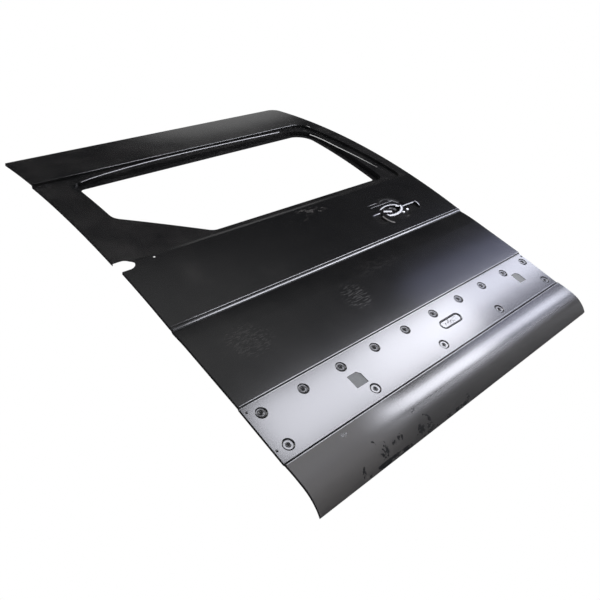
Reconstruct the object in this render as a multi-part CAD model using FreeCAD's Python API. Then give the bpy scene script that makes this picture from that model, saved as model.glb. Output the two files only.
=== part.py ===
import FreeCAD, Part
import math
import os

# Outer skin of a small van's right-hand sliding door, in millimetres.
# The skin is worked out in door stations: x from the rear edge to the front,
# y inwards from the plane of the trim recess, z up from the bottom edge.
# The finished pieces are then moved so that the origin lies on the underside
# of the bottom flange, at mid width: +X is forward, -Y is outside, +Z is up.

V = FreeCAD.Vector

# Overall sizes, the height taken at the rear edge
door_width = 876.0
door_height = 1088.0
top_rise = 47.0
sheet = 1.0
flange_depth = 5.0
top_front_radius = 25.0
top_rear_radius = 4.0

# Sill and trim recess, from the bottom edge up
sill_tuck = 17.0
sill_turn = 45.0
sill_crest = 61.0
sill_radius = 280.0
trim_low = 91.5
trim_high = 203.5
trim_depth = 2.2
trim_step_run = 3.5
panel_lean = 4.0

# Waist line, and the bead under it
waist_drop = 683.5
waist_level = door_height - waist_drop
waist_depth = 4.0
bead_height = 5.5
bead_depth = 3.2
valley_height = 12.0
valley_depth = 6.4
swoop_height = 62.0
tumblehome_radius = 2200.0

# Recessed surround of the window, open at the rear edge
header_above_waist = 531.0
header_rear_level = waist_level + header_above_waist
header_rise = 31.0
surround_front_top = door_width - 46.0
surround_front_low = door_width - 30.0
surround_depth = 6.5
surround_top_radius = 40.0
surround_low_radius = 22.0
ramp_low = waist_level + 174.0
ramp_high = ramp_low + 11.5
ramp_lip = 1.0

# Window opening with its bonding rebate
window_rear = 86.0
window_front_low = door_width - 101.0
window_front_top = door_width - 72.0
window_above_waist = 209.0
window_rear_height = 279.0
window_front_height = 310.5
window_low = waist_level + window_above_waist
window_top_rear = window_low + window_rear_height
window_top_front = window_low + window_front_height
cut_corner_reach = 162.5
cut_corner_rise = 135.5
window_radii = (45.0, 8.0, 30.0, 30.0, 10.0)
rebate_width = 18.0
rebate_depth = 12.0

# Notch for the roller arm in the rear edge
notch_low = waist_level + 157.5
notch_high = notch_low + 35.5
notch_reach = 34.0
pilot_hole_x = 75.0
pilot_hole_z = notch_low + 13.0
pilot_hole_radius = 2.5

# Recess for the outside handle: a round dish with an oval basin in its floor
dish_front_gap = 179.0
dish_x = door_width - dish_front_gap
dish_z = waist_level + 73.0
dish_radius = 42.0
dish_floor_radius = 38.0
dish_step = 4.0
dish_depth = 13.0
basin_x = dish_x - 5.5
basin_z = dish_z + 2.5
basin_half_span = 13.0
basin_radius = 20.0
basin_floor_radius = 13.0

# Seats at the two ends of the handle: rear, front, low and high sides
seat_depth = 4.0
seat_radius = 5.0
rear_seat = (dish_x - 84.0, dish_x - 52.0, dish_z - 32.5, dish_z - 1.5)
front_seat = (dish_x + 25.0, dish_x + 77.0, dish_z - 27.5, dish_z - 2.0)
rear_cut = (dish_x - 75.0, dish_x - 60.0, dish_z - 21.5, dish_z - 9.5)
front_cut = (dish_x + 57.5, dish_x + 74.0, dish_z - 21.0, dish_z - 11.5)
cut_radius = 2.0

# Trim recess: clip dimples, square holes and the pressed oval
clip_first = 27.0
clip_last = door_width - 20.0
clip_count = 10
clip_level = 180.6
low_clip_first = 27.5
low_clip_last = door_width - 22.5
low_clip_count = 5
low_clip_level = 113.0
dimple_radius = 10.5
dimple_wall = 2.4
dimple_depth = 2.0
clip_hole_radius = 3.0
square_hole_rear_gap = 7.8
square_hole_rear_level = 144.0
square_hole_rear_width = 30.0
square_hole_front_gap = 26.5
square_hole_front_level = 151.5
square_hole_front_width = 25.0
square_hole_height = 28.0
square_hole_chamfer = 7.0
patch_overlap = 5.0
patch_thickness = 1.5
oval_gap = 20.8
oval_level = 147.0
oval_length = 65.0
oval_height = 19.0
oval_depth = 0.9

# Seams between the fields of the waist panel
rear_field_run = 213.0
waist_seam_rear = window_rear + rear_field_run
waist_seam_front = dish_x - 100.0

# Working room for tools that must pass right through
clear = 60.0
back_plane = 230.0
top_bound = door_height + top_rise + clear


def point(x, y, z):
    return V(x, y, z)


def arc_depth(start_depth, radius, run):
    """Depth of an arc that starts upright, after a run along the height."""
    return start_depth + radius - math.sqrt(radius ** 2 - run ** 2)


def sill_top():
    return trim_low - trim_step_run


def crest_depth():
    """Depth of the sill where it stands out furthest."""
    return -arc_depth(trim_depth, sill_radius, sill_top() - sill_crest)


def sill_depth(level):
    """Depth of the upper arc of the sill at a level."""
    return arc_depth(crest_depth(), sill_radius, level - sill_crest)


def sill_edges(shift):
    """The sill from below the bottom edge up: a line, a tight arc and a flat arc."""
    turn_depth = sill_depth(sill_turn)
    start = math.asin((sill_crest - sill_turn) / sill_radius)
    chord_angle = math.atan2(sill_tuck - turn_depth, sill_turn)
    half_angle = chord_angle - start
    chord = math.hypot(sill_tuck - turn_depth, sill_turn)
    bulge = chord / 2 * math.tan(half_angle / 2)
    end_slope = math.tan(chord_angle + half_angle)
    foot = point(0, shift + sill_tuck + clear * end_slope, -clear)
    tuck = point(0, shift + sill_tuck, 0)
    between = point(
        0,
        shift + (turn_depth + sill_tuck) / 2 - bulge * math.cos(chord_angle),
        sill_turn / 2 - bulge * math.sin(chord_angle),
    )
    turn = point(0, shift + turn_depth, sill_turn)
    middle = (sill_turn + sill_top()) / 2
    crest = point(0, shift + sill_depth(middle), middle)
    end = point(0, shift - trim_depth, sill_top())
    return [edge_line(foot, tuck), edge_arc(tuck, between, turn), edge_arc(turn, crest, end)]


def upper_depth(level):
    """Depth of the proud upper surface at a level."""
    return arc_depth(waist_depth, tumblehome_radius, level - waist_level)


def header_level(x):
    """Level of the line under the roof band at a station."""
    return header_rear_level + header_rise * x / surround_front_top


def edge_line(start, end):
    return Part.LineSegment(start, end).toShape()


def edge_arc(start, middle, end):
    return Part.Arc(start, middle, end).toShape()


def upper_arc(low, high, shift):
    """Arc of the upper surface between two levels, shifted inwards."""
    middle = (low + high) / 2
    return edge_arc(
        point(0, upper_depth(low) + shift, low),
        point(0, upper_depth(middle) + shift, middle),
        point(0, upper_depth(high) + shift, high),
    )


def side_section(shift):
    """Edges of the side section from the bottom up, shifted inwards."""
    swoop_start = waist_level - swoop_height
    valley_level = waist_level - valley_height
    panel_top = -trim_depth + panel_lean
    swoop_middle = (swoop_start + valley_level) / 2
    lean = panel_lean / (swoop_start - trim_high - trim_step_run)
    swoop_run = swoop_middle - swoop_start
    swoop_bend = (valley_depth - panel_top - lean * 2 * swoop_run) / 4
    sill_end = point(0, shift - trim_depth, sill_top())
    recess_low = point(0, shift, trim_low)
    recess_high = point(0, shift, trim_high)
    panel_low = point(0, shift - trim_depth, trim_high + trim_step_run)
    panel_high = point(0, shift + panel_top, swoop_start)
    swoop = point(0, shift + panel_top + lean * swoop_run + swoop_bend, swoop_middle)
    valley = point(0, shift + valley_depth, valley_level)
    bead = point(0, shift + bead_depth, waist_level - bead_height)
    waist = point(0, shift + waist_depth, waist_level)
    return sill_edges(shift) + [
        edge_line(sill_end, recess_low),
        edge_line(recess_low, recess_high),
        edge_line(recess_high, panel_low),
        edge_line(panel_low, panel_high),
        edge_arc(panel_high, swoop, valley),
        edge_line(valley, bead),
        edge_line(bead, waist),
        upper_arc(waist_level, top_bound, shift),
    ]


def close_behind(edges):
    """Face between a section and the upright plane behind the door."""
    low = edges[0].Vertexes[0].Point
    high = edges[-1].Vertexes[-1].Point
    low_back = V(0, back_plane, low.z)
    high_back = V(0, back_plane, high.z)
    around = [edge_line(high, high_back), edge_line(high_back, low_back), edge_line(low_back, low)]
    return Part.Face(Part.Wire(edges + around))


def across(face):
    """Solid of a side section over the whole width and a little more."""
    face.translate(V(-clear, 0, 0))
    return face.extrude(V(door_width + 2 * clear, 0, 0))


def outline_face(corners, radii, grow=0.0):
    """Flat face in the door's front view with rounded corners, grown all round.

    The corners are (x, z) pairs that run clockwise as seen from outside.
    """
    count = len(corners)
    moved = []
    for i in range(count):
        moved.append(grown_corner(corners[i - 1], corners[i], corners[(i + 1) % count], grow))
    edges = []
    ends = []
    for i in range(count):
        radius = max(radii[i] + grow, 0.0) if radii[i] > 0 else 0.0
        ends.append(corner_arc(moved[i - 1], moved[i], moved[(i + 1) % count], radius))
    for i in range(count):
        start, middle, end = ends[i]
        if middle is not None:
            edges.append(edge_arc(start, middle, end))
        edges.append(edge_line(end, ends[(i + 1) % count][0]))
    return Part.Face(Part.Wire(edges))


def grown_corner(before, here, after, grow):
    """Corner where two sides meet after both move outwards."""
    ax, az = here[0] - before[0], here[1] - before[1]
    bx, bz = after[0] - here[0], after[1] - here[1]
    a_length = math.hypot(ax, az)
    b_length = math.hypot(bx, bz)
    ax, az, bx, bz = ax / a_length, az / a_length, bx / b_length, bz / b_length
    start = (here[0] - az * grow, here[1] + ax * grow)
    other = (here[0] - bz * grow, here[1] + bx * grow)
    turn = ax * bz - az * bx
    along = ((other[0] - start[0]) * bz - (other[1] - start[1]) * bx) / turn
    return (start[0] + ax * along, start[1] + az * along)


def corner_arc(before, here, after, radius):
    """Start, middle and end of the round corner between two sides."""
    corner = V(here[0], 0, here[1])
    if radius == 0:
        return corner, None, corner
    back = (V(before[0], 0, before[1]) - corner).normalize()
    ahead = (V(after[0], 0, after[1]) - corner).normalize()
    half = back.getAngle(ahead) / 2
    inwards = (back + ahead).normalize()
    cut = radius / math.tan(half)
    middle = corner + inwards * (radius / math.sin(half) - radius)
    return corner + back * cut, middle, corner + ahead * cut


def prism(face, low=-clear, high=back_plane):
    """Front-view face made into a solid along the depth."""
    face.translate(V(0, low, 0))
    return face.extrude(V(0, high - low, 0))


def block(x0, x1, z0, z1, low=-clear, high=back_plane):
    return Part.makeBox(x1 - x0, high - low, z1 - z0, V(x0, low, z0))


def plain_region(corners):
    """Through prism over a straight-sided front-view region."""
    return prism(outline_face(corners, [0.0] * len(corners)))


def window_corners():
    return [
        (window_rear, window_top_rear),
        (window_front_top, window_top_front),
        (window_front_low, window_low),
        (window_rear + cut_corner_reach, window_low),
        (window_rear, window_low + cut_corner_rise),
    ]


def window_face(grow):
    top_front, low_front, low_cut, rear_cut, top_rear = window_radii
    return outline_face(window_corners(), [top_rear, top_front, low_front, low_cut, rear_cut], grow)


def above_window(x, grow):
    """Level of the window's top side, moved outwards, at a station."""
    corners = window_corners()
    rear = grown_corner(corners[-1], corners[0], corners[1], grow)
    front = grown_corner(corners[0], corners[1], corners[2], grow)
    return rear[1] + (front[1] - rear[1]) * (x - rear[0]) / (front[0] - rear[0])


def surround_face(grow):
    """Front view of the window surround, which runs out past the rear edge."""
    corners = [
        (-clear, header_level(-clear)),
        (surround_front_top, header_level(surround_front_top)),
        (surround_front_low, ramp_low),
        (-clear, ramp_low),
    ]
    return outline_face(corners, [0.0, surround_top_radius, surround_low_radius, 0.0], grow)


def ahead_of_surround(shift):
    """Space in front of the surround's floor, its lower end rising as a ramp."""
    low = point(0, upper_depth(ramp_low) + ramp_lip + shift, ramp_low - shift)
    knee = point(0, upper_depth(ramp_high) + surround_depth + shift, ramp_high)
    high = top_bound
    top = point(0, upper_depth(high) + surround_depth + shift, high)
    front_low = point(0, -clear, low.z)
    front_top = point(0, -clear, high)
    edges = [
        edge_line(front_low, low),
        edge_line(low, knee),
        upper_arc(ramp_high, high, surround_depth + shift),
        edge_line(top, front_top),
        edge_line(front_top, front_low),
    ]
    return across(Part.Face(Part.Wire(edges)))


def ahead_of_upper(depth):
    """Space in front of the upper surface moved inwards by a depth."""
    high = top_bound
    top = point(0, upper_depth(high) + depth, high)
    low = point(0, upper_depth(waist_level) + depth, waist_level)
    edges = [
        edge_line(point(0, -clear, waist_level), low),
        upper_arc(waist_level, high, depth),
        edge_line(top, point(0, -clear, high)),
        edge_line(point(0, -clear, high), point(0, -clear, waist_level)),
    ]
    return across(Part.Face(Part.Wire(edges)))


def surround_tool(shift):
    return prism(surround_face(shift)).common(ahead_of_surround(shift))


def rebate_tool(shift):
    grow = rebate_width + shift
    depth = surround_depth + rebate_depth + shift
    return prism(window_face(grow)).common(ahead_of_upper(depth))


def inward_cone(x, z, start, start_radius, end, end_radius):
    """Cone along the depth, from one depth and radius to another."""
    return Part.makeCone(start_radius, end_radius, end - start, V(x, start, z), V(0, 1, 0))


def dish_tool(shift):
    """Round dish behind the handle, its wall sloping to a flat floor."""
    skin = upper_depth(dish_z)
    slope = (dish_radius - dish_floor_radius) / dish_step
    ahead = 6.0
    rim_radius = dish_radius + ahead * slope + shift
    floor_radius = dish_floor_radius + shift
    return inward_cone(dish_x, dish_z, skin - ahead, rim_radius, skin + dish_step + shift, floor_radius)


def basin_tool(shift):
    """Oval basin in the floor of the dish, with two round ends."""
    skin = upper_depth(dish_z)
    top = skin + dish_step
    bottom = skin + dish_depth + shift
    wide = basin_radius + shift
    narrow = basin_floor_radius + shift
    rear = basin_x - basin_half_span
    front = basin_x + basin_half_span
    corners = [
        point(rear, top, basin_z - wide),
        point(rear, top, basin_z + wide),
        point(rear, bottom, basin_z + narrow),
        point(rear, bottom, basin_z - narrow),
    ]
    sides = [edge_line(corners[i - 1], corners[i]) for i in range(4)]
    middle = Part.Face(Part.Wire(sides)).extrude(V(front - rear, 0, 0))
    ends = [inward_cone(x, basin_z, top, wide, bottom, narrow) for x in (rear, front)]
    return middle.fuse(ends)


def side_face(sizes, radius, grow=0.0):
    """Flat face between four sides, with rounded corners."""
    rear, front, low, high = sizes
    corners = [(rear, high), (front, high), (front, low), (rear, low)]
    return outline_face(corners, [radius] * 4, grow)


def seat_tool(sizes, shift):
    tool = prism(side_face(sizes, seat_radius, shift))
    return tool.common(ahead_of_upper(seat_depth + shift))


def clip_stations(first, last, count):
    return [first + (last - first) * i / (count - 1) for i in range(count)]


def clip_places():
    """Front-view places of the two rows of trim clips."""
    upper = [(x, clip_level) for x in clip_stations(clip_first, clip_last, clip_count)]
    lower = clip_stations(low_clip_first, low_clip_last, low_clip_count)
    return upper + [(x, low_clip_level) for x in lower]


def dimple_tool(x, z, shift):
    slope = dimple_wall / dimple_depth
    ahead = 1.5
    rim_radius = dimple_radius + ahead * slope + shift / 2
    floor_radius = dimple_radius - dimple_wall + shift / 2
    return inward_cone(x, z, shift - ahead, rim_radius, shift + dimple_depth, floor_radius)


def oval_tool(shift):
    """Pressed oval in the middle of the trim recess."""
    x = clip_stations(clip_first, clip_last, clip_count)[5] + oval_gap
    half = oval_length / 2
    radius = oval_height / 2
    sizes = (x - half, x + half, oval_level - radius, oval_level + radius)
    return prism(side_face(sizes, radius * 0.98, shift), -clear, oval_depth + shift)


def pressed_section(shift):
    """Everything behind the side section alone, moved inwards by a shift."""
    return across(close_behind(side_section(shift)))


def solid_behind(shift):
    """Everything behind the pressed surface, moved inwards by a shift."""
    body = pressed_section(shift).cut(surround_tool(shift))
    body = body.cut(rebate_tool(shift))
    tools = [dish_tool(shift), basin_tool(shift), seat_tool(rear_seat, shift), seat_tool(front_seat, shift)]
    tools += [dimple_tool(x, z, shift) for x, z in clip_places()]
    tools.append(oval_tool(shift))
    return body.cut(tools)


def door_face(grow):
    top_front = (door_width, door_height + top_rise)
    corners = [(0.0, door_height), top_front, (door_width, 0.0), (0.0, 0.0)]
    return outline_face(corners, [top_rear_radius, top_front_radius, 0.0, 0.0], grow)


def square_holes():
    """Places of the two square holes: station, level and width."""
    clips = clip_stations(clip_first, clip_last, clip_count)
    return {
        "rear_hole_patch": (clips[2] + square_hole_rear_gap, square_hole_rear_level, square_hole_rear_width),
        "front_hole_patch": (clips[8] + square_hole_front_gap, square_hole_front_level, square_hole_front_width),
    }


def square_hole(x, z, width):
    """Square hole with its front top corner cut off."""
    left, right = x - width / 2, x + width / 2
    low, high = z - square_hole_height / 2, z + square_hole_height / 2
    corners = [
        (left, high),
        (right - square_hole_chamfer, high),
        (right, high - square_hole_chamfer),
        (right, low),
        (left, low),
    ]
    return plain_region(corners)


def notch_tool():
    radius = (notch_high - notch_low) / 2
    corners = [(-clear, notch_high), (notch_reach, notch_high), (notch_reach, notch_low), (-clear, notch_low)]
    return prism(outline_face(corners, [0.0, radius * 0.98, radius * 0.98, 0.0]))


def through_holes():
    """Everything that is cut right through the sheet."""
    holes = [prism(window_face(0.0)), notch_tool()]
    holes += [square_hole(*place) for place in square_holes().values()]
    holes += [prism(side_face(sizes, cut_radius)) for sizes in (rear_cut, front_cut)]
    for x, z in clip_places():
        holes.append(round_hole(x, z, clip_hole_radius))
    holes.append(round_hole(pilot_hole_x, pilot_hole_z, pilot_hole_radius))
    return holes


def round_hole(x, z, radius):
    return Part.makeCylinder(radius, clear + back_plane, V(x, -clear, z), V(0, 1, 0))


def build_skin(inner):
    sheet_solid = solid_behind(0.0).cut(inner)
    sheet_solid = sheet_solid.common(prism(door_face(0.0)))
    return sheet_solid.cut(through_holes())


def build_flanges(inner):
    """Turned-in flange along all four edges, behind the sheet."""
    ring = prism(door_face(0.0)).cut(prism(door_face(-sheet)))
    far_side = sheet + flange_depth
    strip = inner.cut(pressed_section(far_side).cut(surround_tool(far_side)))
    strip = strip.common(ring)
    return strip.cut(notch_tool())


def origin_depth():
    """Depth of the middle of the bottom flange."""
    return sill_tuck + sheet + flange_depth / 2


def save(name, shape):
    """Move a piece into the part's frame, check it and write it."""
    piece = shape.removeSplitter()
    piece.translate(V(-door_width / 2, -origin_depth(), 0))
    solids = [solid for solid in piece.Solids if solid.Volume > 1.0]
    result = solids[0] if len(solids) == 1 else Part.makeCompound(solids)
    print(f"{name:22s} solids {len(solids)} valid {result.isValid()} volume {result.Volume:8.0f}")
    result.exportStep(f"parts/{name}.step")


def share_out(shape, regions):
    """Cut a shape into named pieces, each region taking what is left in it."""
    taken = None
    for name, region in regions:
        if taken is not None:
            shape = shape.cut(taken)
        save(name, shape.common(region))
        taken = region


def rebate_regions():
    """The bonding rebate round the window, in six lengths."""
    left, right, low, high = -clear, door_width + clear, -clear, top_bound
    top_radius, low_radius = window_radii[0], window_radii[1]
    inside = window_top_rear - window_radii[4]
    ring = prism(window_face(rebate_width + 2 * sheet))
    bend = window_front_top - top_radius
    lengths = [
        ("rebate_top", block(left, bend, inside, high)),
        ("rebate_top_corner", block(bend, right, window_top_front - top_radius, high)),
        ("rebate_front", block(window_front_low - low_radius, right, window_low + low_radius, high)),
        ("rebate_bottom", block(window_rear + cut_corner_reach, right, low, high)),
        ("rebate_rear", block(left, right, window_low + cut_corner_rise, high)),
        ("rebate_diagonal", block(left, right, low, high)),
    ]
    return [(name, ring.common(length)) for name, length in lengths]


def handle_regions():
    """The handle dish and the two seats beside it, each with a narrow rim."""
    rim = 2 * sheet + 1.0
    return [
        ("handle_dish", round_hole(dish_x, dish_z, dish_radius + rim)),
        ("handle_rear_seat", prism(side_face(rear_seat, seat_radius, rim))),
        ("handle_front_seat", prism(side_face(front_seat, seat_radius, rim))),
    ]


def surround_regions():
    """The window surround, from the header down to the ramp."""
    left, right, low, high = -clear, door_width + clear, -clear, top_bound
    around = prism(surround_face(2 * sheet))
    rim = rebate_width + 2 * sheet
    header_corners = [
        (left, high),
        (right, high),
        (right, above_window(right, rim)),
        (left, above_window(left, rim)),
    ]
    bend = window_front_top - window_radii[0] - rim
    fields = [
        ("window_header", plain_region(header_corners)),
        ("window_ramp", block(left, right, low, ramp_high + sheet)),
        ("front_pillar", block(bend, right, low, high)),
        ("rear_pillar", block(left, bend, window_low + cut_corner_rise, high)),
        ("rear_pillar_foot", block(left, right, low, high)),
    ]
    return [(name, around.common(field)) for name, field in fields]


def panel_regions():
    """The proud panels, from the roof band down to the sill."""
    left, right, low, high = -clear, door_width + clear, -clear, top_bound
    header_front = header_level(surround_front_top)
    roof_corners = [
        (left, high),
        (right, high),
        (right, header_front),
        (surround_front_top, header_front),
        (left, header_level(left)),
    ]
    below_ramp = ramp_low - 2 * sheet
    above_bead = waist_level + sheet
    below_valley = waist_level - valley_height - sheet
    above_recess = trim_high + trim_step_run + sheet
    below_recess = sill_top() - sheet
    return [
        ("roof_band", plain_region(roof_corners)),
        ("front_strip", block(left, right, below_ramp, high)),
        ("waist_panel_rear", block(left, waist_seam_rear, above_bead, high)),
        ("waist_panel_middle", block(left, waist_seam_front, above_bead, high)),
        ("handle_panel", block(left, right, above_bead, high)),
        ("waist_bead", block(left, right, below_valley, high)),
        ("middle_panel", block(left, right, above_recess, high)),
        ("trim_recess", block(left, right, below_recess, high)),
        ("sill_panel", block(left, right, low, high)),
    ]


def save_flanges(inner):
    """The turned-in flange along the four edges, in five lengths."""
    left, right, low, high = -clear, door_width + clear, -clear, top_bound
    rear = top_rear_radius + sheet
    notch_middle = (notch_low + notch_high) / 2
    corner = door_height + top_rise - top_front_radius
    bend = door_width - top_front_radius
    top_corners = [
        (rear, high),
        (right, high),
        (right, corner),
        (bend, corner),
        (bend, notch_middle),
        (rear, notch_middle),
    ]
    strip = build_flanges(inner)
    lengths = {
        "bottom_flange": block(left, right, low, sheet),
        "rear_flange_lower": block(left, rear, sheet, notch_middle),
        "rear_flange_upper": block(left, rear, notch_middle, high),
        "front_flange": block(bend, right, sheet, corner),
        "top_flange": plain_region(top_corners),
    }
    for name, length in lengths.items():
        save(name, strip.common(length))


def widened(sizes, edge):
    rear, front, low, high = sizes
    return (rear - edge, front + edge, low - edge, high + edge)


def save_patches():
    """Flexible sealing patches stuck behind the holes, square and at the handle."""
    for name, (x, z, width) in square_holes().items():
        half = square_hole_height / 2
        sizes = widened((x - width / 2, x + width / 2, z - half, z + half), patch_overlap)
        save(name, block(*sizes, sheet, sheet + patch_thickness))
    near = ahead_of_upper(seat_depth + sheet)
    far = ahead_of_upper(seat_depth + sheet + patch_thickness)
    cuts = {"handle_rear_patch": rear_cut, "handle_front_patch": front_cut}
    for name, sizes in cuts.items():
        save(name, block(*widened(sizes, patch_overlap / 2)).common(far).cut(near))


def main():
    os.makedirs("parts", exist_ok=True)
    inner = solid_behind(sheet)
    skin = build_skin(inner)
    share_out(skin, rebate_regions() + handle_regions() + surround_regions() + panel_regions())
    save_flanges(inner)
    save_patches()


main()
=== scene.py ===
# %% [markdown]
# The frame
#
# The door skin arrives as finished solids. They keep their shape and place here.
# This lesson gives them their finish, adds the clip seats, the rolled edges and the
# small pieces of the handle recess, and sets up the camera, the floor and the light.

import math

import bpy
from mathutils import Matrix, Vector


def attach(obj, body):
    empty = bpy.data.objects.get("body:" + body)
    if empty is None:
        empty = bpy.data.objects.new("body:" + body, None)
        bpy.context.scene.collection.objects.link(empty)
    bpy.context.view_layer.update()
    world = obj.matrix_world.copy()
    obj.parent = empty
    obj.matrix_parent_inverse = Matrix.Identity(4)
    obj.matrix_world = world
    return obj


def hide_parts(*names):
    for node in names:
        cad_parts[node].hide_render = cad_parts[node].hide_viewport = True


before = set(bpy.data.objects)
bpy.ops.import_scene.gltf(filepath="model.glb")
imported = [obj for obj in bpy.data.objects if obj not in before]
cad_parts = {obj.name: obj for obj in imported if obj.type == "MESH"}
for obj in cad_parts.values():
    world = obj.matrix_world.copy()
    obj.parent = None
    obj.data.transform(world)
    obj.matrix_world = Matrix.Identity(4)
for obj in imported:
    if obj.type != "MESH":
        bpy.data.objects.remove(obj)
for piece in bpy.context.selected_objects:
    piece.select_set(False)
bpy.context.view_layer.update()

# %% [markdown]
# The camera
#
# The photograph was taken from low down in front of the rear edge, looking up and
# forward, with the camera turned on its side by about forty degrees. The place and
# the three directions come from the perspective of the door's long parallel lines.
# A matrix built from the view direction and the right hand side is clearer than
# three turns in a row, so the camera gets its own matrix.

# %% Camera
CAMERA_PLACE = Vector((-0.874616, -0.796250, -0.138469))
CAMERA_RIGHT = Vector((0.726961, -0.250613, -0.639312))
CAMERA_UP = Vector((0.328007, -0.691204, 0.643932))
CAMERA_LENS_MM = 35.52
SENSOR_WIDTH_MM = 36.0
NEAREST_SEEN = 0.01


def add_camera():
    right = CAMERA_RIGHT.normalized()
    back = right.cross(CAMERA_UP).normalized()
    up = back.cross(right)
    data = bpy.data.cameras.new("camera")
    data.lens = CAMERA_LENS_MM
    data.sensor_width = SENSOR_WIDTH_MM
    data.clip_start = NEAREST_SEEN
    camera = bpy.data.objects.new("camera", data)
    bpy.context.collection.objects.link(camera)
    turn = Matrix((right, up, back)).transposed().to_4x4()
    camera.matrix_world = Matrix.Translation(CAMERA_PLACE) @ turn
    return camera


bpy.context.scene.view_settings.view_transform = "Standard"
camera = add_camera()
bpy.context.scene.camera = camera
print("camera", tuple(round(v, 3) for v in camera.location))

# %% [markdown]
# Shared effects
#
# A bare pressing shows the faint ripple of drawn sheet and a thin film of dust all
# over, and marks that have a place of their own. Each one is a node group that is
# built once and placed in a material with its own values. They read Object
# coordinates, so a pattern runs on from one piece of the skin to the next.

# %% Node helpers


def new_material(name):
    material = bpy.data.materials.new(name)
    material.use_nodes = True
    return material, material.node_tree.nodes, material.node_tree.links


def new_group(name, inputs, output):
    """An empty node group with named number inputs and one output."""
    group = bpy.data.node_groups.new(name, "ShaderNodeTree")
    for label, kind, value in inputs:
        socket = group.interface.new_socket(label, in_out="INPUT", socket_type=kind)
        socket.default_value = value
    group.interface.new_socket(output, in_out="OUTPUT", socket_type="NodeSocketFloat")
    entry = group.nodes.new("NodeGroupInput")
    exit_node = group.nodes.new("NodeGroupOutput")
    return group, entry, exit_node


def place_group(nodes, group, **values):
    node = nodes.new("ShaderNodeGroup")
    node.node_tree = group
    for label, value in values.items():
        node.inputs[label].default_value = value
    return node


def maths(nodes, links, operation, first, second):
    """A Math node between two sockets or numbers."""
    node = nodes.new("ShaderNodeMath")
    node.operation = operation
    for socket, value in zip(node.inputs, (first, second)):
        if isinstance(value, (int, float)):
            socket.default_value = value
        else:
            links.new(value, socket)
    return node.outputs["Value"]


def stretch(nodes, links, value, low, high, to_low=0.0, to_high=1.0, step="SMOOTHSTEP"):
    """A Map Range node with a smooth step."""
    node = nodes.new("ShaderNodeMapRange")
    node.interpolation_type = step
    links.new(value, node.inputs["Value"])
    ends = (("From Min", low), ("From Max", high), ("To Min", to_low), ("To Max", to_high))
    for label, number in ends:
        if isinstance(number, (int, float)):
            node.inputs[label].default_value = number
        else:
            links.new(number, node.inputs[label])
    return node.outputs["Result"]


NUMBER = "NodeSocketFloat"
DIRECTION = "NodeSocketVector"

# %% Ripple of drawn sheet
FINE_SCALE = 420.0
WAVE_SCALE = 13.0


def build_ripple():
    inputs = [("Fine", NUMBER, 1.0), ("Wave", NUMBER, 1.0)]
    group, entry, exit_node = new_group("sheet_ripple", inputs, "Height")
    nodes, links = group.nodes, group.links
    place = nodes.new("ShaderNodeTexCoord").outputs["Object"]
    fine = nodes.new("ShaderNodeTexNoise")
    fine.inputs["Scale"].default_value = FINE_SCALE
    fine.inputs["Detail"].default_value = 2.0
    links.new(place, fine.inputs["Vector"])
    wave = nodes.new("ShaderNodeTexNoise")
    wave.inputs["Scale"].default_value = WAVE_SCALE
    wave.inputs["Detail"].default_value = 1.0
    links.new(place, wave.inputs["Vector"])
    fine_part = maths(nodes, links, "MULTIPLY", fine.outputs["Fac"], entry.outputs["Fine"])
    wave_part = maths(nodes, links, "MULTIPLY", wave.outputs["Fac"], entry.outputs["Wave"])
    links.new(maths(nodes, links, "ADD", fine_part, wave_part), exit_node.inputs["Height"])
    return group


sheet_ripple = build_ripple()
print("group", sheet_ripple.name)

# %% Film of dust
CLOUD_RANGE = (0.25, 0.75)
SPECK_SCALE = 900.0
SPECK_RANGE = (0.35, 0.7, 0.8, 1.0)


def build_dust():
    inputs = [("Amount", NUMBER, 0.5), ("Scale", NUMBER, 12.0)]
    group, entry, exit_node = new_group("dust_film", inputs, "Mask")
    nodes, links = group.nodes, group.links
    place = nodes.new("ShaderNodeTexCoord").outputs["Object"]
    cloud = nodes.new("ShaderNodeTexNoise")
    cloud.inputs["Detail"].default_value = 6.0
    cloud.inputs["Roughness"].default_value = 0.65
    links.new(place, cloud.inputs["Vector"])
    links.new(entry.outputs["Scale"], cloud.inputs["Scale"])
    speck = nodes.new("ShaderNodeTexNoise")
    speck.inputs["Scale"].default_value = SPECK_SCALE
    links.new(place, speck.inputs["Vector"])
    film = stretch(nodes, links, cloud.outputs["Fac"], *CLOUD_RANGE)
    specks = stretch(nodes, links, speck.outputs["Fac"], *SPECK_RANGE)
    dusty = maths(nodes, links, "MULTIPLY", film, specks)
    mask = maths(nodes, links, "MULTIPLY", dusty, entry.outputs["Amount"])
    links.new(mask, exit_node.inputs["Mask"])
    return group


dust_film = build_dust()
print("group", dust_film.name)

# %% [markdown]
# A mark
#
# A scuff, smudge or dusty patch has a place of its own on the door. Some patches are
# painted shade or painted reflection instead. The group makes a soft oval there and
# breaks it up with noise. The oval reaches through the thin sheet, so a mark shows on
# both of its sides.

# %% Mark
GRAIN_RANGE = (0.45, 0.68)
MARK_RANGE = (0.02, 0.35)


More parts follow.
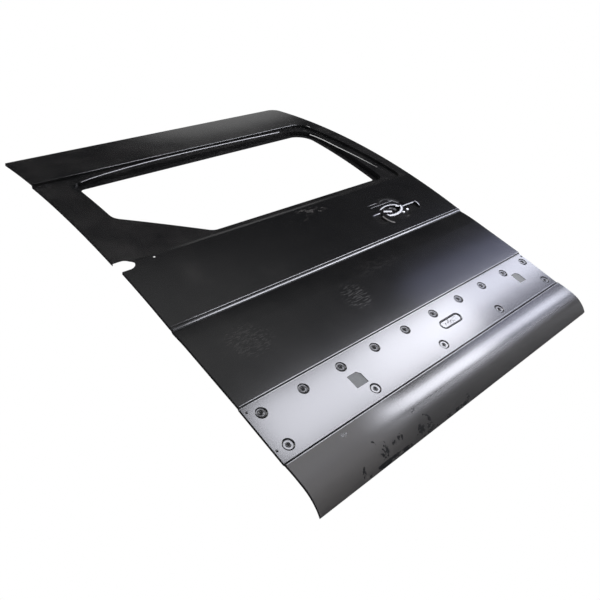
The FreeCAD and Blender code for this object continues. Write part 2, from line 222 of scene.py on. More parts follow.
def build_mark():
    inputs = [
        ("Place", DIRECTION, (0, 0, 0)), ("Turn", DIRECTION, (0, 0, 0)),
        ("Size", DIRECTION, (1, 1, 1)), ("Grain", DIRECTION, (60, 60, 60)),
    ]
    group, entry, exit_node = new_group("soft_mark", inputs, "Mask")
    nodes, links = group.nodes, group.links
    place = nodes.new("ShaderNodeTexCoord").outputs["Object"]
    mapping = nodes.new("ShaderNodeMapping")
    mapping.vector_type = "TEXTURE"
    links.new(place, mapping.inputs["Vector"])
    links.new(entry.outputs["Place"], mapping.inputs["Location"])
    links.new(entry.outputs["Turn"], mapping.inputs["Rotation"])
    links.new(entry.outputs["Size"], mapping.inputs["Scale"])
    oval = nodes.new("ShaderNodeTexGradient")
    oval.gradient_type = "SPHERICAL"
    links.new(mapping.outputs["Vector"], oval.inputs["Vector"])
    grain = nodes.new("ShaderNodeMapping")
    links.new(place, grain.inputs["Vector"])
    links.new(entry.outputs["Turn"], grain.inputs["Rotation"])
    links.new(entry.outputs["Grain"], grain.inputs["Scale"])
    noise = nodes.new("ShaderNodeTexNoise")
    noise.inputs["Scale"].default_value = 1.0
    noise.inputs["Detail"].default_value = 3.0
    links.new(grain.outputs["Vector"], noise.inputs["Vector"])
    gaps = stretch(nodes, links, noise.outputs["Fac"], *GRAIN_RANGE)
    broken = maths(nodes, links, "MULTIPLY", oval.outputs["Fac"], gaps)
    links.new(stretch(nodes, links, broken, *MARK_RANGE), exit_node.inputs["Mask"])
    return group


soft_mark = build_mark()
print("group", soft_mark.name)

# %% [markdown]
# The black coat
#
# The sheet is steel in a thin black primer coat, a dark gloss that is soft at the
# edges of what it mirrors. Dust makes it browner and duller, most of all along the
# sill, where the imported door rests; towards the sill's rear end that grey is also a
# painted dull sheen. Scuffs on the sill wipe the dust away again, and two long wipes
# along its foot are painted shade. A few dust patches elsewhere are painted reflection
# or painted shade.

# %% Black coat
COAT_COLOUR = (0.006, 0.006, 0.0063, 1.0)
DUST_COLOUR = (0.14, 0.128, 0.118, 1.0)
COAT_ROUGHNESS = 0.16
DUST_ROUGHNESS = 0.6
RIPPLE_HEIGHT = 0.00015
FINE_RIPPLE = 0.02
FULL_DUST = 0.7
HALF_LENGTH = 438.0
RECESS_PLANE = 20.5


def door_place(station, level, depth=0.0):
    """A place on the door, in metres, from millimetres ahead of the rear edge and up."""
    return ((station - HALF_LENGTH) / 1000, (depth - RECESS_PLANE) / 1000, level / 1000)


def coat_material(
    name, dust_amount, marks=(), scuffs_and_edge_shade=(), extra_dust=None, swell=None, roughness=COAT_ROUGHNESS,
):
    """Black coat with dust, marks that add to it and scuffs that wipe it; some of either are
    painted shade or painted reflection.
    """
    material, nodes, links = new_material(name)
    shader = nodes["Principled BSDF"]
    dust = place_group(nodes, dust_film, Amount=dust_amount).outputs["Mask"]
    if extra_dust:
        dust = maths(nodes, links, "ADD", dust, extra_dust(nodes, links))
    for place, turn, size, grain, strength in marks:
        mark = place_group(nodes, soft_mark, Place=place, Turn=turn, Size=size, Grain=grain)
        layer = maths(nodes, links, "MULTIPLY", mark.outputs["Mask"], strength)
        dust = maths(nodes, links, "ADD", dust, layer)
    for place, turn, size, grain, strength in scuffs_and_edge_shade:
        mark = place_group(nodes, soft_mark, Place=place, Turn=turn, Size=size, Grain=grain)
        wiped = maths(nodes, links, "MULTIPLY", mark.outputs["Mask"], -strength)
        left = maths(nodes, links, "MAXIMUM", maths(nodes, links, "ADD", wiped, 1.0), 0.0)
        dust = maths(nodes, links, "MULTIPLY", dust, left)
    colour = nodes.new("ShaderNodeMix")
    colour.data_type = "RGBA"
    colour.inputs["A"].default_value = COAT_COLOUR
    colour.inputs["B"].default_value = DUST_COLOUR
    links.new(dust, colour.inputs["Factor"])
    links.new(colour.outputs["Result"], shader.inputs["Base Color"])
    rough = stretch(nodes, links, dust, 0.0, FULL_DUST, roughness, DUST_ROUGHNESS)
    links.new(rough, shader.inputs["Roughness"])
    ripple = place_group(nodes, sheet_ripple, Fine=FINE_RIPPLE, Wave=1.0)
    height = maths(nodes, links, "MULTIPLY", ripple.outputs["Height"], RIPPLE_HEIGHT)
    if swell:
        height = maths(nodes, links, "ADD", height, swell(nodes, links))
    bump = nodes.new("ShaderNodeBump")
    bump.inputs["Strength"].default_value = 1.0
    bump.inputs["Distance"].default_value = 1.0
    links.new(height, bump.inputs["Height"])
    links.new(bump.outputs["Normal"], shader.inputs["Normal"])
    return material


# %% [markdown]
# Marks, scuffs and painted light
#
# Each mark has a place, a turn, a size, a grain and a strength. Those of the sill wipe
# its dust away, and the others add a little dust. The two long strips along the sill's
# foot are painted shade, the roof's cloud and the waist's large cloud are painted
# reflection, and the oval's patch is painted shade with its stamped grain.

# %% Marks, scuffs and painted light
SILL_SCUFFS_AND_EDGE_SHADE = [
    (door_place(193, 20), (0.0, 0.89, 0.0), (0.0042, 0.03, 0.014), (160, 100, 120), 5.0),
    (door_place(184, 22), (0.0, 0.89, 0.0), (0.0034, 0.03, 0.011), (150, 100, 140), 5.0),
    (door_place(202, 19), (0.0, 0.80, 0.0), (0.0032, 0.03, 0.010), (170, 100, 130), 4.4),
    (door_place(163, 21), (0.0, 0.40, 0.0), (0.0055, 0.03, 0.012), (260, 100, 200), 5.0),
    (door_place(156, 15), (0.0, -0.3, 0.0), (0.0120, 0.03, 0.009), (230, 100, 260), 5.0),
    (door_place(147, 37), (0.0, 0.0, 0.0), (0.0042, 0.03, 0.006), (60, 60, 60), 4.0),
    (door_place(104, 10), (0.0, 0.83, 0.0), (0.0060, 0.03, 0.012), (240, 100, 180), 5.0),
    (door_place(258, 7), (0.0, 0.0, 0.0), (0.0300, 0.03, 0.009), (110, 100, 240), 6.0),
    (door_place(250, 12), (0.0, 0.5, 0.0), (0.0100, 0.03, 0.009), (150, 100, 200), 5.0),
    (door_place(274, 21), (0.0, -0.69, 0.0), (0.0048, 0.03, 0.011), (130, 100, 110), 6.0),
    (door_place(256, 44), (0.0, 0.0, 0.0), (0.0080, 0.03, 0.005), (300, 100, 300), 2.4),
    (door_place(391, 7), (0.0, 0.0, 0.0), (0.0060, 0.03, 0.007), (160, 100, 160), 4.0),
    (door_place(115, 76), (0.0, 0.3, 0.0), (0.0090, 0.03, 0.006), (320, 100, 320), 1.6),
    # These two long strips wipe the dust along the bottom edge and leave it black: painted shade.
    (door_place(165, 2), (0.0, 0.0, 0.0), (0.0800, 0.03, 0.005), (40, 60, 40), 6.0),
    (door_place(330, 2), (0.0, 0.0, 0.0), (0.0900, 0.03, 0.004), (40, 60, 40), 6.0),
]
PANEL_MARKS = [
    (door_place(104, 310), (0.0, 0.1, 0.0), (0.06, 0.03, 0.05), (90, 60, 420), 0.10),
    (door_place(369, 300), (0.0, 0.15, 0.0), (0.045, 0.03, 0.05), (60, 60, 380), 0.13),
    (door_place(485, 345), (0.0, 0.0, 0.0), (0.09, 0.03, 0.03), (70, 60, 380), 0.07),
]
ROOF_PAINTED_REFLECTION = [
    # A pale cloud on the roof band: a painted reflection of the room.
    (door_place(50, 1050, 105), (0.0, 0.0, 0.0), (0.15, 0.2, 0.12), (5, 5, 5), 0.14),
]
OVAL_SHADE_AND_STAMPING = [
    # Patch inside the pressed oval: painted shade of its sunken floor, with a grain like its
    # stamped pattern.
    (door_place(508.4, 147), (0.0, 0.0, 0.0), (0.032, 0.03, 0.0095), (240, 100, 240), 0.35),
]
WAIST_MARKS_AND_REFLECTION = [
    # The large pale cloud at the rear of the waist panel is a painted reflection; the two small
    # ones are smudges.
    (door_place(200, 500, 7), (0.0, 0.0, 0.0), (0.13, 0.05, 0.13), (5, 5, 5), 0.08),
    (door_place(485, 560, 10), (0.0, 0.2, 0.0), (0.05, 0.03, 0.014), (60, 60, 130), 0.25),
    (door_place(438, 547, 9), (0.0, 0.0, 0.0), (0.055, 0.03, 0.016), (30, 60, 60), 0.16),
]
print("scuffs_and_edge_shade", len(SILL_SCUFFS_AND_EDGE_SHADE), "marks on the panels", len(PANEL_MARKS) + len(WAIST_MARKS_AND_REFLECTION))

# %% Film and painted sheen on the sill
REAR_DUST_AND_SHEEN = (-0.33, -0.16, 0.43, 0.0)
FOOT_FILM = (0.03, 0.055, 0.25, 0.0)


def rear_dust_and_sheen(nodes, links):
    """Dust that thickens towards the rear end and the foot of the sill; towards the rear end its
    grey is also a painted dull sheen.
    """
    place = nodes.new("ShaderNodeTexCoord").outputs["Object"]
    split = nodes.new("ShaderNodeSeparateXYZ")
    links.new(place, split.inputs["Vector"])
    along = stretch(nodes, links, split.outputs["X"], *REAR_DUST_AND_SHEEN)
    foot = stretch(nodes, links, split.outputs["Z"], *FOOT_FILM)
    clear = maths(nodes, links, "SUBTRACT", 1.0, along)
    return maths(nodes, links, "ADD", along, maths(nodes, links, "MULTIPLY", foot, clear))


# %% [markdown]
# Swell of the sill
#
# The pressed sill leans back a little more than its plain arc does, stays full below
# its middle, and its rear end turns in. Each turns the surface by a few degrees. All
# are made as a bump, so they show in what it mirrors and don't change its outline.

# %% Swell of the sill
SILL_LEAN = 0.110
SILL_LEAN_CHANGE = 0.29
SILL_TWIST = 1.7
SILL_FULLNESS = 0.0035
FULL_RANGE = (0.0055, 0.0455)
SILL_CURL = 0.019
CURL_RANGE = (-0.48, -0.14)
RISE_SLOPE = -0.5
RISE_LEVEL = 0.09


def sill_swell(nodes, links):
    place = nodes.new("ShaderNodeTexCoord").outputs["Object"]
    split = nodes.new("ShaderNodeSeparateXYZ")
    links.new(place, split.inputs["Vector"])
    steep = maths(nodes, links, "MULTIPLY", split.outputs["Z"], SILL_LEAN_CHANGE)
    steep = maths(nodes, links, "SUBTRACT", steep, SILL_LEAN)
    lean = maths(nodes, links, "MULTIPLY", split.outputs["Z"], steep)
    full = stretch(nodes, links, split.outputs["Z"], *FULL_RANGE, SILL_FULLNESS, 0.0)
    left = maths(nodes, links, "MULTIPLY", split.outputs["Z"], RISE_SLOPE)
    left = maths(nodes, links, "ADD", left, RISE_LEVEL)
    rise = maths(nodes, links, "MULTIPLY", split.outputs["Z"], left)
    twist = maths(nodes, links, "MULTIPLY", rise, split.outputs["X"])
    twist = maths(nodes, links, "MULTIPLY", twist, -SILL_TWIST)
    curl = stretch(
        nodes, links, split.outputs["X"], *CURL_RANGE, -SILL_CURL, 0.0, "SMOOTHERSTEP",
    )
    bowed = maths(nodes, links, "ADD", maths(nodes, links, "ADD", lean, full), curl)
    return maths(nodes, links, "ADD", bowed, twist)


# %% Coats
black_coat = coat_material("black_coat", 0.12)
roof_coat = coat_material("black_coat_roof", 0.12, ROOF_PAINTED_REFLECTION)
waist_coat = coat_material("black_coat_waist", 0.03, WAIST_MARKS_AND_REFLECTION)
panel_coat = coat_material("black_coat_panel", 0.05, PANEL_MARKS, roughness=0.145)
sill_coat = coat_material("black_coat_sill", 0.06, (), SILL_SCUFFS_AND_EDGE_SHADE, rear_dust_and_sheen, sill_swell)
recess_coat = coat_material("black_coat_recess", 0.05, OVAL_SHADE_AND_STAMPING)
dusty_coat = coat_material("black_coat_dusty", 1.5)
coats = (black_coat, roof_coat, waist_coat, panel_coat, sill_coat, recess_coat, dusty_coat)
print("coats", [coat.name for coat in coats])

# %% [markdown]
# The patches
#
# Soft matt patches close the two square holes from behind. They are grey and dull, with
# a fine speckle, and the other nodes take one of the coats.

# %% Patches
patch_grey, nodes, links = new_material("patch_grey")
shader = nodes["Principled BSDF"]
shader.inputs["Roughness"].default_value = 0.8
speckle = place_group(nodes, dust_film, Amount=1.0, Scale=90.0)
tint = nodes.new("ShaderNodeMix")
tint.data_type = "RGBA"
tint.inputs["A"].default_value = (0.22, 0.22, 0.22, 1.0)
tint.inputs["B"].default_value = (0.27, 0.27, 0.265, 1.0)
links.new(speckle.outputs["Mask"], tint.inputs["Factor"])
links.new(tint.outputs["Result"], shader.inputs["Base Color"])

# %% Give every node its finish
FINISHES = {
    "rear_hole_patch": patch_grey,
    "front_hole_patch": patch_grey,
    "middle_panel": panel_coat,
    "waist_panel_rear": waist_coat,
    "waist_panel_middle": waist_coat,
    "handle_panel": waist_coat,
    "sill_panel": sill_coat,
    "trim_recess": recess_coat,
    "roof_band": roof_coat,
}
for name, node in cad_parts.items():
    node.data.materials.clear()
    node.data.materials.append(FINISHES.get(name, black_coat))

# %% [markdown]
# A smooth sill
#
# The long light slides over the sill's curve, so this panel needs normals that run on
# from facet to facet. A CAD mesh is loose triangles, so a copy of it is merged and
# smoothed, and the copy stands for the node.

# %% Smooth sill
SKIN_ANGLE = 35.0
SAME_POINT = 0.000001


def smooth_skin(name, node_name, material):
    """A merged and smoothed copy that stands for a CAD node of the same shape."""
    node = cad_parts[node_name]
    skin = node.copy()
    skin.data = node.data.copy()
    skin.name = name
    bpy.context.collection.objects.link(skin)
    bpy.ops.object.select_all(action="DESELECT")
    skin.select_set(True)
    bpy.context.view_layer.objects.active = skin
    bpy.ops.mesh.customdata_custom_splitnormals_clear()
    bpy.ops.object.mode_set(mode="EDIT")
    bpy.ops.mesh.select_all(action="SELECT")
    bpy.ops.mesh.remove_doubles(threshold=SAME_POINT)
    bpy.ops.object.mode_set(mode="OBJECT")
    bpy.ops.object.shade_smooth_by_angle(angle=math.radians(SKIN_ANGLE))
    skin.data.materials.clear()
    skin.data.materials.append(material)
    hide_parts(node_name)
    return skin


sill_skin = smooth_skin("sill_skin", "sill_panel", sill_coat)
print("sill", len(sill_skin.data.vertices), "points")

# %% [markdown]
# Clip seats
#
# Fifteen round seats in the trim recess take the clips of the outer trim. The press
# leaves a raised lip, a dished floor and a small collar round the hole. A circle is
# extruded inwards ring by ring, which is how such a shape is turned on a lathe. It
# is made once and copied. The upper row's floors tilt back a little.

# %% Tools for the small pieces
TOP_FIRST, TOP_LAST = 27.0, 856.0
LOW_FIRST, LOW_LAST = 27.5, 853.5
TOP_CLIPS = [TOP_FIRST + (TOP_LAST - TOP_FIRST) * i / 9 for i in range(10)]
LOW_CLIPS = [LOW_FIRST + (LOW_LAST - LOW_FIRST) * i / 4 for i in range(5)]
TOP_CLIP_LEVEL = 180.6
LOW_CLIP_LEVEL = 113.0
WAIST_LEVEL = 404.5
WAIST_STEP = 4.0
TUMBLEHOME = 2200.0
PIECE_ANGLE = 40.0


def waist_depth(level):
    """Depth of the upper skin in millimetres at a level, as in the solids."""
    return WAIST_STEP + TUMBLEHOME - math.sqrt(TUMBLEHOME ** 2 - (level - WAIST_LEVEL) ** 2)


def start_edit(piece):
    bpy.ops.object.select_all(action="DESELECT")
    piece.select_set(True)
    bpy.context.view_layer.objects.active = piece
    bpy.ops.object.mode_set(mode="EDIT")
    bpy.ops.mesh.select_all(action="SELECT")


def end_edit():
    bpy.ops.object.mode_set(mode="OBJECT")


def finish_piece(piece, name, material):
    """Put a piece's place into its mesh, smooth it, colour it and let it ride."""
    piece.name = name
    bpy.ops.object.select_all(action="DESELECT")
    piece.select_set(True)
    bpy.context.view_layer.objects.active = piece
    bpy.ops.object.transform_apply(location=True, rotation=True, scale=True)
    bpy.ops.object.shade_smooth_by_angle(angle=math.radians(PIECE_ANGLE))
    piece.data.materials.clear()
    piece.data.materials.append(material)
    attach(piece, "root")
    return piece


def turned_piece(name, rings, place, material, sides=28, tilt=0.0):
    """Rings of (radius, height towards the viewer) in millimetres, from the rim in."""
    first = rings[0]
    bpy.ops.mesh.primitive_circle_add(
        vertices=sides, radius=first[0] / 1000, rotation=(math.pi / 2, 0, 0),
    )
    piece = bpy.context.active_object
    bpy.ops.object.transform_apply(location=False, rotation=True, scale=False)
    start_edit(piece)
    bpy.ops.transform.translate(value=(0, -first[1] / 1000, 0))
    before = first
    for radius, height in rings[1:]:
        drop = (before[1] - height) / 1000
        bpy.ops.mesh.extrude_edges_move(TRANSFORM_OT_translate={"value": (0, drop, 0)})
        factor = radius / before[0]
        bpy.ops.transform.resize(value=(factor, 1.0, factor), center_override=(0, 0, 0))
        before = (radius, height)
    bpy.ops.mesh.edge_face_add()
    bpy.ops.mesh.select_all(action="SELECT")
    if tilt:
        bpy.ops.transform.rotate(
            value=math.radians(tilt), orient_axis="X", center_override=(0, 0, 0),
        )
    bpy.ops.mesh.normals_make_consistent(inside=False)
    end_edit()
    facing = sum(face.normal.y * face.area for face in piece.data.polygons)
    if facing > 0:
        start_edit(piece)
        bpy.ops.mesh.flip_normals()
        end_edit()
    piece.location = place
    return finish_piece(piece, name, material)


def copy_piece(piece, name, move):
    """A copy with its own mesh, moved by a distance in metres."""
    twin = piece.copy()
    twin.data = piece.data.copy()
    bpy.context.collection.objects.link(twin)
    twin.data.transform(Matrix.Translation(Vector(move)))
    twin.name = name
    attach(twin, "root")
    return twin


# %% Clip seats and plugs
SEAT_RINGS = [
    (11.2, 0.02), (10.8, 0.2), (10.4, 0.35), (10.0, 0.2), (9.5, -0.5), (9.0, -1.0), (8.5, -1.15),
    (8.2, -1.17), (5.0, -1.17), (4.6, -1.15), (4.1, -0.85), (3.5, -0.9), (3.1, -1.3), (2.6, -1.5),
]
TOP_SEAT_TILT = 2.2
PLUG_RINGS = [(6.0, -4.4), (6.0, -3.2), (2.6, -3.1), (2.55, -1.6), (2.0, -1.4), (0.8, -1.35)]

# The plugs close the clip holes, and their near black is painted shade of the hollow seen through
# each hole.
plug_black_as_shade, nodes, links = new_material("plug_black_as_shade")
nodes["Principled BSDF"].inputs["Base Color"].default_value = (0.004, 0.004, 0.004, 1.0)
nodes["Principled BSDF"].inputs["Roughness"].default_value = 0.85

seats = []
CLIP_ROWS = [
    ("top", TOP_CLIPS, TOP_CLIP_LEVEL, TOP_SEAT_TILT),
    ("low", LOW_CLIPS, LOW_CLIP_LEVEL, 0.0),
]
for row, stations, level, tilt in CLIP_ROWS:
    place = door_place(stations[0], level)
    seat = turned_piece(f"clip_seat_{row}_1", SEAT_RINGS, place, recess_coat, tilt=tilt)
    plug = turned_piece(f"clip_plug_{row}_1", PLUG_RINGS, place, plug_black_as_shade)
    seats += [seat, plug]
    for number, station in enumerate(stations[1:], start=2):
        move = ((station - stations[0]) / 1000, 0, 0)
        seats.append(copy_piece(seat, f"clip_seat_{row}_{number}", move))
        seats.append(copy_piece(plug, f"clip_plug_{row}_{number}", move))
triangles = sum(len(face.vertices) - 2 for face in seats[0].data.polygons)
print("seats and plugs", len(seats), "triangles a seat", triangles)

# %% [markdown]
# Rolled edges
#
# Where the press bends the sheet, the bend is round and mirrors the long light as a
# thin bright line. Each line is a narrow crowned ribbon that lies along its bend. It
# has to turn with its path and lean with the bend, which a plain extrude can't do,
# so its points are worked out row by row and a Solidify modifier gives it its wall.

# %% Ribbon
SLOPES = 7


def rounded_path(corners, radii, steps=8):
    """Points along straight sides with round corners, open at both ends."""
    points = [Vector(corners[0])]
    for i in range(1, len(corners) - 1):
        here, radius = Vector(corners[i]), radii[i]
        back = (Vector(corners[i - 1]) - here).normalized()
        ahead = (Vector(corners[i + 1]) - here).normalized()
        half = back.angle(ahead) / 2
        cut = radius / math.tan(half)
        centre = here + (back + ahead).normalized() * (radius / math.sin(half))
        start, end = here + back * cut - centre, here + ahead * cut - centre
        for k in range(steps + 1):
            share = k / steps
            points.append(centre + (start * (1 - share) + end * share).normalized() * radius)
    points.append(Vector(corners[-1]))
    return [tuple(point) for point in points]


def ring_path(x, z, half_span, radius, steps=12):
    """Points round an upright oval with two round ends, in order."""
    points = []
    for centre, turn in ((x + half_span, -90.0), (x - half_span, 90.0)):
        for k in range(steps + 1):
            angle = math.radians(turn + 180.0 * k / steps)
            points.append((centre + radius * math.cos(angle), z + radius * math.sin(angle)))
    return points


def edge_ribbon(
    name, path, width, tilt, crown, depth, lift=0.25, closed=False, wall=1.2, material=None,
    lean=0.0, level=None,
):
    """Crowned ribbon along a path of stations and levels, in millimetres.

    The tilt turns its face downwards, the lean turns it to the rear and the crown is
    how far its sides fall away, all in degrees. The depth is a number or a function of
    the level. An upright run has its tilt along its length, from a given level.
    """
    count = len(path)
    points = []
    for i, (x, z) in enumerate(path):
        before = path[i - 1] if (i > 0 or closed) else path[i]
        after = path[(i + 1) % count] if (i < count - 1 or closed) else path[i]
        along = Vector((after[0] - before[0], after[1] - before[1])).normalized()
        side = Vector((-along.y, along.x))
        base = depth(z) if callable(depth) else depth
        for k in range(SLOPES):
            offset = (k / (SLOPES - 1) - 0.5) * width
            up = side.y * offset
            height = lift - math.tan(math.radians(crown)) * offset ** 2 / width
            height += math.tan(math.radians(tilt)) * (up if level is None else z + up - level)
            height += math.tan(math.radians(lean)) * side.x * offset
            points.append(door_place(x + side.x * offset, z + up, base - height))
    faces = []
    for i in range(count if closed else count - 1):
        for k in range(SLOPES - 1):
            a, b = i * SLOPES + k, ((i + 1) % count) * SLOPES + k
            faces.append((a, b, b + 1, a + 1))
    mesh = bpy.data.meshes.new(name)
    mesh.from_pydata(points, [], faces)
    mesh.update()
    if sum(face.normal.y * face.area for face in mesh.polygons) > 0:
        mesh.flip_normals()
    piece = bpy.data.objects.new(name, mesh)
    bpy.context.collection.objects.link(piece)
    bpy.context.view_layer.objects.active = piece
    solid = piece.modifiers.new("wall", "SOLIDIFY")
    solid.thickness = wall / 1000
    solid.offset = -1.0
    bpy.ops.object.select_all(action="DESELECT")
    piece.select_set(True)
    bpy.ops.object.modifier_apply(modifier=solid.name)
    return finish_piece(piece, name, material or black_coat)


# %% Lines along the waist and the recess
def straight(level, first=1.0, last=875.0, steps=24):
    return [(first + (last - first) * i / steps, level) for i in range(steps + 1)]


ribbons = [
    edge_ribbon("waist_valley_line", straight(395.0), 2.8, 10.0, 3.0, 4.0, lift=0.5, wall=1.5),
    edge_ribbon("waist_edge_line", straight(402.9), 1.2, 10.0, 4.0, 3.7),
    edge_ribbon("recess_top_line", straight(203.3), 2.0, 2.3, 3.0, 0.0, lift=0.15),
    edge_ribbon("panel_foot_line", straight(206.8), 1.6, 2.5, 3.0, -2.2, lift=0.15),
    edge_ribbon("sill_head_line", straight(87.2), 1.6, -3.5, 4.0, -2.25, lift=0.15),
    edge_ribbon("recess_low_line", straight(94.0), 1.3, -3.0, 3.0, 0.0, lift=0.1),
]
print("ribbons", len(ribbons))

# %% [markdown]
# Lines round the window
#
# These three are placed for the camera's view. The upper end of the pillar line, from
# about level 790 up, and the rear end of the cove line stand clear of the rebate
# behind them.

# %% Lines round the window
SURROUND_STEP = 6.5


def surround_depth(level):
    return waist_depth(level) + SURROUND_STEP


PILLAR_LINE = [
    (800.0, 893), (804.0, 872), (806.5, 842), (806.5, 801), (808.2, 773), (811.6, 741),
    (814.9, 708), (818.3, 674), (821.6, 646),
]
COVE_LINE = [
    (96, 908.0), (120, 914.5), (150, 920.5), (185, 925.8), (225, 931.0), (272, 936.0), (320, 939.8),
    (372, 942.6), (425, 945.2), (480, 947.0), (560, 948.2), (655, 948.6), (730, 949.0),
]
RIM_LINE = rounded_path([(2, 936.6), (830.0, 966.9), (846.0, 578.5)], [0, 40.0, 0])[:-1]
ribbons += [
    edge_ribbon(
        "pillar_line", PILLAR_LINE, 1.8, 10.0, 4.0, surround_depth, lift=0.7, wall=1.6, lean=30.0,
    ),
    edge_ribbon("header_cove_line", COVE_LINE, 2.2, 26.0, 6.0, surround_depth, lift=1.7, wall=2.4),
    edge_ribbon(
        "header_rim_line", RIM_LINE, 1.3, 26.0, 10.0, waist_depth, lift=1.1, wall=1.8, lean=30.0,
    ),
]
print("ribbons", len(ribbons))

# %% [markdown]
# The handle recess
#
# The outside handle is not fitted. Its bare recess has a round dish with a raised
# lip round the oval basin, two seats with rolled edges, and two small bright rivets.

# %% Handle recess
DISH_LEVEL = 477.5
DISH_STEP = 4.0
DISH_FLOOR = waist_depth(DISH_LEVEL) + DISH_STEP
LIP_RING = [
    (701.5, 461.8), (714.0, 465.2), (720.5, 471.0), (722.5, 478.3), (716.0, 485.4), (707.5, 488.8),
    (698.5, 490.9), (689.5, 492.2), (680.3, 492.5), (671.0, 492.0), (663.0, 490.4), (655.5, 488.4),
    (651.9, 484.6), (651.8, 480.0), (653.3, 475.0), (656.8, 470.6), (661.5, 467.0), (667.0, 464.2),
    (673.0, 462.4), (680.3, 461.5), (688.0, 461.1),
]
FOOT_ARC = [
    (657.5, 467.0), (663.1, 463.4), (669.0, 461.6), (675.8, 460.6), (683.0, 460.1), (690.8, 460.2),
    (698.0, 461.0), (704.1, 462.2), (710.0, 464.0), (715.0, 466.8), (719.0, 470.5),
    (720.9, 474.8), (719.6, 479.0),
]
RIM_ARC = [
    (640.0, 466.0), (639.4, 460.0), (640.0, 453.6), (641.4, 448.4), (643.8, 443.2),
    (647.0, 438.6), (651.5, 434.6),
]
BASIN_BAR = [(666, 484.6), (674, 481.4), (682, 478.3), (689, 475.8)]
BASIN_SWELL = [(710, 484.6), (714, 483.2), (718, 481.0)]
FRONT_SEAT = [(724, 474.0), (745, 474.8), (772, 474.2)]
FRONT_SIDE = [(772, 473.4), (775.5, 470.5), (776.5, 466), (776.0, 452)]
REAR_SEAT = [(612, 474), (616, 477), (641, 477.6)]
ribbons += [
    edge_ribbon(
        "basin_lip", LIP_RING, 3.6, 12.0, 6.0, DISH_FLOOR,
        lift=1.3, closed=True, wall=3.0, level=476.0,
    ),
    edge_ribbon(
        "basin_lip_foot", FOOT_ARC, 6.0, 12.0, 4.0, DISH_FLOOR - 1.0,
        lift=1.4, wall=3.0, level=464.0,
    ),
    edge_ribbon("basin_bar", BASIN_BAR, 6.0, 12.0, 4.0, 13.0, lift=1.6, wall=3.5),
    edge_ribbon("basin_swell", BASIN_SWELL, 6.0, 12.0, 4.0, DISH_FLOOR - 1.0, lift=1.8, wall=1.6),
    edge_ribbon(
        "dish_rim", RIM_ARC, 4.0, 6.0, 14.0, waist_depth, lift=0.6, wall=1.6, material=dusty_coat,
    ),
    edge_ribbon("front_seat_line", FRONT_SEAT, 2.8, 12.0, 4.0, waist_depth, lift=0.5),
    edge_ribbon(
        "front_seat_side", FRONT_SIDE, 2.6, 12.0, 4.0, 5.2, lift=1.6, wall=3.4, level=463.0,
    ),
    edge_ribbon("rear_seat_line", REAR_SEAT, 2.8, 12.0, 4.0, waist_depth, lift=0.5),
    edge_ribbon("upper_step_line", [(634, 512), (666, 512)], 1.0, 10.0, 8.0, waist_depth),
    edge_ribbon("lower_step_line", [(634, 502.7), (717, 502.7)], 1.0, 10.0, 8.0, waist_depth),
]

bright_zinc, nodes, links = new_material("bright_zinc")
shader = nodes["Principled BSDF"]
shader.inputs["Metallic"].default_value = 1.0
shader.inputs["Roughness"].default_value = 0.35
worn = place_group(nodes, dust_film, Amount=1.0, Scale=500.0)
tint = nodes.new("ShaderNodeMix")
tint.data_type = "RGBA"
tint.inputs["A"].default_value = (0.85, 0.86, 0.88, 1.0)
tint.inputs["B"].default_value = (0.55, 0.55, 0.56, 1.0)
links.new(worn.outputs["Mask"], tint.inputs["Factor"])
links.new(tint.outputs["Result"], shader.inputs["Base Color"])

RIVET_RINGS = [(3.8, -0.4), (3.8, 0.6), (3.4, 1.4), (2.4, 2.1), (1.2, 2.3), (0.5, 2.2)]
RIVET_PLACE = door_place(715.0, 458.4, DISH_FLOOR)
rivet = turned_piece("handle_rivet_1", RIVET_RINGS, RIVET_PLACE, bright_zinc, sides=20)
copy_piece(rivet, "handle_rivet_2", (0.0194, 0.0, 0.0038))

# %% [markdown]
# The pressed oval and the locating nibs
#
# A stamped bead runs round the oval in the trim recess. Three tiny nibs at the
# recess's ends locate the trim.

# %% Oval bead and nibs
OVAL_PLACE = (TOP_CLIPS[5] + 20.8, 147.0)
ribbons.append(edge_ribbon(
    "oval_bead", ring_path(*OVAL_PLACE, 23.0, 9.5), 4.2, 0.0, 50.0, 0.0,
    lift=1.2, closed=True, material=recess_coat,
))
NIB_RINGS = [(2.4, 0.0), (2.2, 0.5), (1.5, 0.95), (0.6, 1.15)]
nib = turned_piece("trim_nib_1", NIB_RINGS, door_place(6.5, 193.0), recess_coat, sides=16)
copy_piece(nib, "trim_nib_2", (-0.0019, 0.0, -0.0793))
copy_piece(nib, "trim_nib_3", (0.8645, 0.0, 0.001))
print("ribbons", len(ribbons))

# %% [markdown]
# Floor, surroundings and light
#
# The door stands on a pale floor. The photograph looks up from below that level, so
# the floor is clear from its under side. The background is white to the camera. The
# coat mirrors a dark room with three paler zones in it, and one long soft light.

# %% Floor
FLOOR_SIZE = 12.0
FLOOR_LEVEL = -0.0005


def add_floor():
    bpy.ops.mesh.primitive_plane_add(size=FLOOR_SIZE, location=(0.0, 0.0, FLOOR_LEVEL))
    floor = bpy.context.active_object
    floor.name = "floor"
    material, nodes, links = new_material("pale_floor")
    shader = nodes["Principled BSDF"]
    shader.inputs["Base Color"].default_value = (0.8, 0.8, 0.8, 1.0)
    shader.inputs["Roughness"].default_value = 0.9
    clear = nodes.new("ShaderNodeBsdfTransparent")
    side = nodes.new("ShaderNodeNewGeometry")
    mix = nodes.new("ShaderNodeMixShader")
    links.new(side.outputs["Backfacing"], mix.inputs["Fac"])
    links.new(shader.outputs["BSDF"], mix.inputs[1])
    links.new(clear.outputs["BSDF"], mix.inputs[2])
    links.new(mix.outputs["Shader"], nodes["Material Output"].inputs["Surface"])
    floor.data.materials.append(material)
    return floor


floor = add_floor()
print("floor", floor.name)

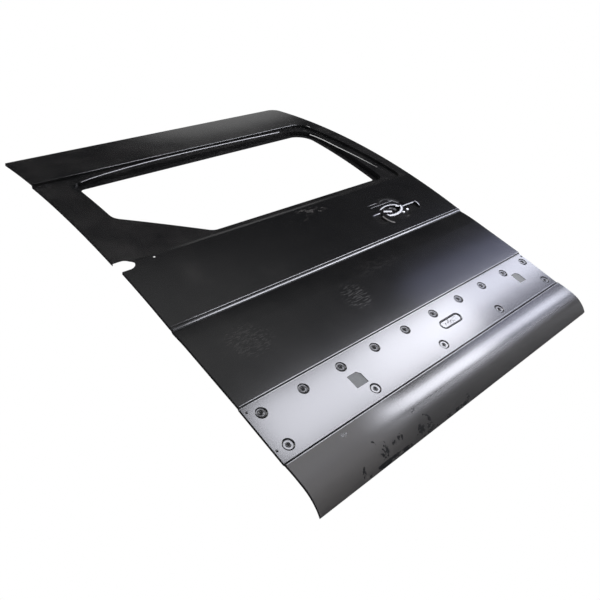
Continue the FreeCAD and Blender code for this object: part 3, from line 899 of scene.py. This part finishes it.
# %% [markdown]
# The surroundings
#
# Three soft zones, each a direction, how far it reaches and how bright it is in the
# coat. What is between them stays dark.

# %% Surroundings
SOFT_LIGHT = 0.6
ROOM_DARK = 0.03
ZONES = [
    ((0.305, -0.837, 0.454), 0.90, 0.996, 0.65),
    ((0.58, 0.06, 0.81), 0.984, 0.997, 0.55),
    ((0.0, -0.67, 0.74), 0.95, 0.985, 14.0),
]


def set_world():
    world = bpy.data.worlds.new("studio")
    bpy.context.scene.world = world
    world.use_nodes = True
    nodes, links = world.node_tree.nodes, world.node_tree.links
    dim = nodes["Background"]
    dim.inputs["Color"].default_value = (0.9, 0.95, 1.0, 1.0)
    dim.inputs["Strength"].default_value = SOFT_LIGHT
    white = nodes.new("ShaderNodeBackground")
    white.inputs["Color"].default_value = (1.0, 1.0, 1.0, 1.0)
    white.inputs["Strength"].default_value = 1.0
    heading = nodes.new("ShaderNodeTexCoord").outputs["Generated"]
    room = ROOM_DARK
    for direction, low, high, strength in ZONES:
        facing = nodes.new("ShaderNodeVectorMath")
        facing.operation = "DOT_PRODUCT"
        facing.inputs[1].default_value = Vector(direction).normalized()
        links.new(heading, facing.inputs[0])
        zone = stretch(nodes, links, facing.outputs["Value"], low, high, 0.0, strength)
        room = maths(nodes, links, "ADD", room, zone)
    room_background = nodes.new("ShaderNodeBackground")
    links.new(room, room_background.inputs["Strength"])
    path = nodes.new("ShaderNodeLightPath")
    seen = maths(
        nodes, links, "MAXIMUM", path.outputs["Is Camera Ray"], path.outputs["Is Transmission Ray"],
    )
    mirrored = nodes.new("ShaderNodeMixShader")
    links.new(path.outputs["Is Glossy Ray"], mirrored.inputs["Fac"])
    links.new(dim.outputs["Background"], mirrored.inputs[1])
    links.new(room_background.outputs["Background"], mirrored.inputs[2])
    mix = nodes.new("ShaderNodeMixShader")
    links.new(seen, mix.inputs["Fac"])
    links.new(mirrored.outputs["Shader"], mix.inputs[1])
    links.new(white.outputs["Background"], mix.inputs[2])
    links.new(mix.outputs["Shader"], nodes["World Output"].inputs["Surface"])


set_world()
print("zones", len(ZONES))

# %% [markdown]
# The lights
#
# One long soft light is made of five boxes side by side. Each has a name, x from and
# to, z from and to, a radiance and a colour. All stand two metres in front.

# %% Lights
LIGHT_DISTANCE = 2.0
PALE_BLUE = (0.94, 0.95, 1.04)
SOFT_BOXES = [
    ("light_rear", 0.66, 1.60, 0.64, 1.08, 17.0, PALE_BLUE),
    ("light_middle", 1.60, 2.70, 0.66, 1.09, 20.0, PALE_BLUE),
    ("light_front", 2.70, 4.20, 0.83, 1.13, 12.5, (0.90, 0.92, 1.07)),
    ("light_front_low", 2.70, 4.20, 0.62, 0.83, 2.5, (0.85, 0.88, 1.1)),
    ("light_front_high", 2.45, 4.20, 1.13, 1.50, 1.1, (0.75, 0.80, 1.25)),
]


def area_light(name, place, towards, width, height, radiance, colour):
    data = bpy.data.lights.new(name, "AREA")
    data.shape = "RECTANGLE"
    data.size = width
    data.size_y = height
    data.energy = radiance * width * height * math.pi
    data.color = colour
    light = bpy.data.objects.new(name, data)
    bpy.context.collection.objects.link(light)
    light.location = place
    heading = Vector(towards) - Vector(place)
    light.rotation_euler = heading.to_track_quat("-Z", "Y").to_euler()
    return light


for name, left, right, low, high, radiance, colour in SOFT_BOXES:
    middle = ((left + right) / 2, -LIGHT_DISTANCE, (low + high) / 2)
    towards = (middle[0], 0.0, middle[2])
    area_light(name, middle, towards, right - left, high - low, radiance, colour)
print("lights", len(SOFT_BOXES))
